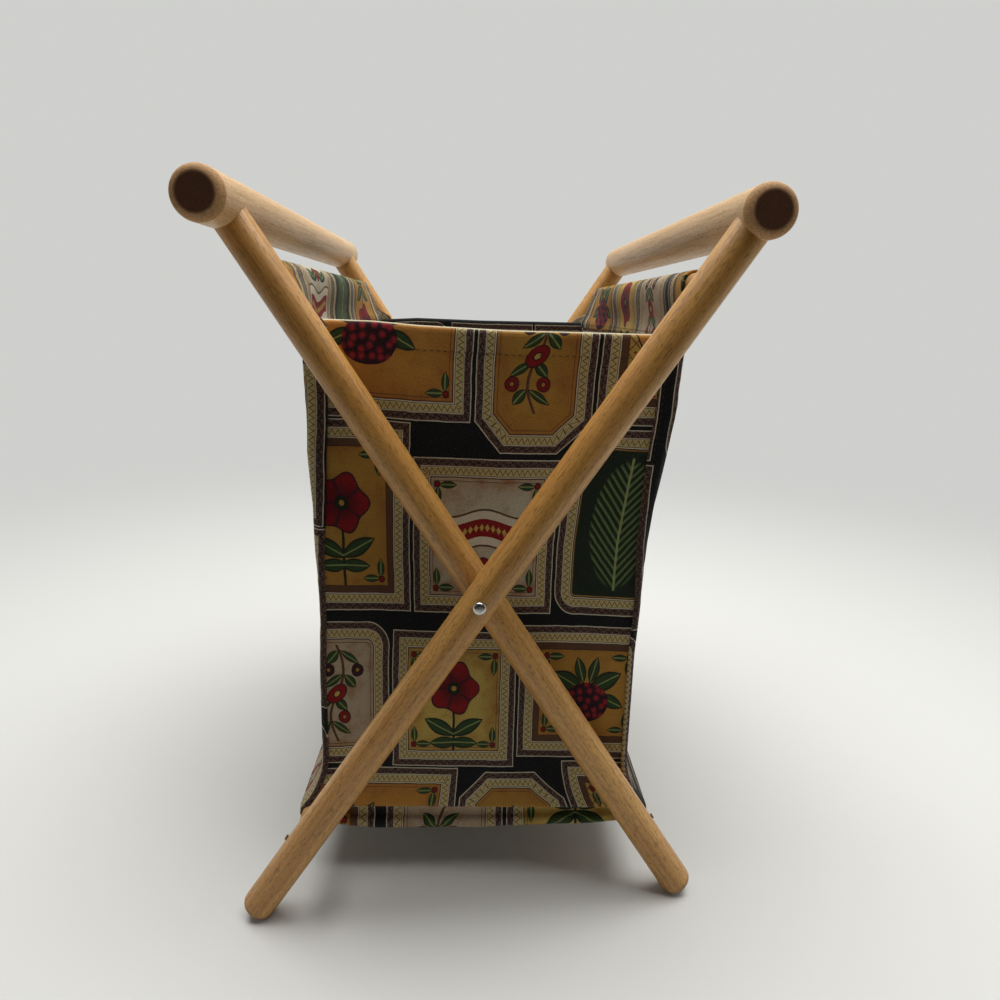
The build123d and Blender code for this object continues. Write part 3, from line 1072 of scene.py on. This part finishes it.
# Stitching: rows of dark cotton thread along the hems, the side seams and the rims, about
# eight stitches to the inch. Each stitch stands a little proud of the cloth.
stitch_pitch = 0.0031
stitch_length = 0.0021
stitch_radius = 0.00019
row_steps = 120
proud = 0.0001
on_cloth = cloth / 2 + proud
hem_row_z = hem_low + 0.0035
hem_row_half = bag_end - 0.004
seam_row_low = wall_low + 0.006
seam_row_high = rim_height - 0.004
rim_row_half = 0.0795
rim_row_drop = 0.0105
thread, tree, shader = new_material("dark_thread")
twist = between(noise_on(add_node(tree, "TexCoord")["Object"], 2500, 2), 0.35, 0.65)
plug(shader, {"Base Color": dye(twist, (52, 42, 38), (24, 20, 22)), "Roughness": 0.7})


def stitch_row(name, path, body):
    """Stitches as small spindles of thread at an even pitch along a path of points."""
    row = bmesh.new()
    travelled, wanted = 0.0, stitch_pitch
    for first, second in zip(path, path[1:]):
        step = second - first
        while travelled + step.length >= wanted:
            middle = first + step * ((wanted - travelled) / step.length)
            turn = step.to_track_quat("X", "Z").to_matrix().to_4x4()
            size = Matrix.Diagonal((stitch_length / 2, stitch_radius, stitch_radius, 1))
            bmesh.ops.create_icosphere(row, subdivisions=1, radius=1,
                                       matrix=Matrix.Translation(middle) @ turn @ size)
            wanted += stitch_pitch
        travelled += step.length
    for face in row.faces:
        face.smooth = True
    piece = finished(name, row, thread)
    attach(piece, body)
    return piece


def hem_row(side, face):
    """The stitches' path along a hem, on its outer or its inner face."""
    out = face * hem_out(hem_row_z, hem_gap + on_cloth)
    along = [(2 * step / row_steps - 1) * hem_row_half for step in range(row_steps + 1)]
    return [Vector((side_x(side, y, hem_row_z) + out, y, hem_row_z)) for y in along]


def seam_row(side, end):
    """The stitches' path up a side seam, just inside the edge of the side's cloth."""
    path = []
    for step in range(row_steps + 1):
        z = seam_row_low + (seam_row_high - seam_row_low) * step / row_steps
        edge = 0.0016 + 0.0012 * eased(z, wrap_low, wrap_high)
        path.append(round_corner(side, ends[end] * (side_half(z) - edge), z))
        path[-1].y += ends[end] * on_cloth
    return path


def rim_row(end):
    """The stitches' path along the foot of a rim's hem."""
    path = []
    for step in range(row_steps + 1):
        x = (2 * step / row_steps - 1) * rim_row_half
        z = rim_z(end, x) - rim_row_drop
        y = bag_end - seat - end_dent(end, x, z) + end_thickness / 2 + proud
        path.append(Vector((x, ends[end] * y, z)))
    return path


for side in sides:
    for face, words in ((1, "outside"), (-1, "inside")):
        stitch_row("hem_stitches_" + side + "_" + words, hem_row(side, face), bags[side])
    for end in ends:
        seam = stitch_row("seam_stitches_" + side + "_" + end, seam_row(side, end), bags[side])
        sides[side] * rod_x
        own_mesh(seam)
for end in ends:
    rim = stitch_row("rim_stitches_" + end, rim_row(end), "bag_ends")
    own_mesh(rim)

# Corner facings: a strip of the same cotton inside each lower edge, round the rod and a few
# centimetres up. It saves the cloth from wear, and shows when the basket is folded.
facing_cloth = 0.0006
facing_radius = rod_radius + 0.0007
facing_top = 0.102
facing_behind = 0.0011
facing_width = 2 * (bag_end - 0.003)
facing_path = [(low_rod_x + facing_radius * cos(radians(angle)),
                low_rod_z + facing_radius * sin(radians(angle))) for angle in range(-90, 29, 8)]
facing_path += [(wall_x(z / 1000) - facing_behind, z / 1000)
                for z in range(round(wall_low * 1000) + 3, round(facing_top * 1000) + 1, 3)]
facing_x, facing_z, facing_length = unrolled(facing_path)


def facing_place(side, across, along):
    """Where a point of a facing's flat cloth lies, behind the side's cloth."""
    up = along + facing_length / 2
    z = read_off(up, facing_z)
    drawn = side_x(side, across, z) - sides[side] * wall_x(z) if z > wall_low else 0
    return sides[side] * read_off(up, facing_x) + drawn, across, z


for side in sides:
    facing = cloth_sheet("corner_facing_" + side, facing_width, facing_length, weave_step,
                         partial(facing_place, side), (0.09, 0.19), facing_cloth)
    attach(facing, "bag_bottom")
    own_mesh(facing)

# Lining: a second bag of the same print inside the first, one band round all four walls
# and a floor, tucked under the rim's hem.
lining_cloth = 0.0008
lining_inset = 0.0014
lining_end = bag_end - lining_inset - 0.0006
lining_foot = low_rod_z - rod_radius - 0.0015
lining_height = rim_height - 0.003 - lining_foot
floor_lift = 0.0004
behind_facing = 0.0009
behind_facing_top = facing_top + 0.012
nearly_round = 0.9999999
lining_round_way = 4 * (end_half + bag_end)
lining_corners = (("left", "near"), ("right", "near"), ("right", "far"), ("left", "far"))
floor_width = 2 * (low_rod_x + 0.004)
floor_length = 2 * (bag_end - 0.0090)


def lining_point(turn, z):
    """A point on the lining by its share of the way round, from the near left corner."""
    quarter = int(turn * 4) % 4
    share = turn * 4 - int(turn * 4)
    first, second = lining_corners[quarter], lining_corners[(quarter + 1) % 4]
    inset = lining_inset + behind_facing * (1 - eased(z, facing_top, behind_facing_top))
    x_first, x_second = [corner_x(*corner, z) - sides[corner[0]] * inset
                         for corner in (first, second)]
    y_first, y_second = [ends[corner[1]] * lining_end for corner in (first, second)]
    x = x_first + (x_second - x_first) * share
    y = y_first + (y_second - y_first) * share
    if quarter in (0, 2):
        y -= ends[first[1]] * (end_dent(first[1], x, z) + foot_tuck(x, z))
    else:
        x = side_x(first[0], y, z) - sides[first[0]] * inset
    return x, y


def lining_place(across, along):
    """Where a point of the lining's flat band hangs."""
    z = lining_foot + along + lining_height / 2
    x, y = lining_point(min(across / lining_round_way + 0.5, nearly_round), z)
    if z > rim_height - rim_tail and abs(y) > bag_end - 0.006:
        z += rim_z("near" if y < 0 else "far", x) - rim_height
    return x, y, z


def floor_place(across, along):
    """Where a point of the lining's floor lies."""
    return across, along, lining_foot + floor_lift


lining = cloth_sheet("lining_band", lining_round_way, lining_height, 0.005, lining_place,
                     (0.11, 0.05), lining_cloth)
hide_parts("lining")
lining_floor = cloth_sheet("lining_floor", floor_width, floor_length, 0.01, floor_place,
                           (0.02, 0.01), lining_cloth)
for piece, flat in ((lining, (lining_round_way, lining_height)),
                    (lining_floor, (floor_width, floor_length))):
    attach(piece, "bag_bottom")
    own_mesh(piece)

# Base board: a sawn piece of brown hardboard that lies loose on the two lower rods and
# keeps the bag's floor flat.
board, tree, shader = new_material("hardboard")
place = add_node(tree, "TexCoord")["Object"]
fibres = between(noise_on(place, 700, 5, 0.7), 0.35, 0.65)
clouds = between(noise_on(place, 40, 3), 0.3, 0.7)
colour = dye(clouds, (128, 88, 54), (112, 74, 44))
plug(shader, {"Base Color": dye(fibres * 0.5, colour, (78, 50, 30)), "Roughness": 0.6})
emboss(shader, fibres, 0.4, 0.0002)
finish_node("base_board", board)
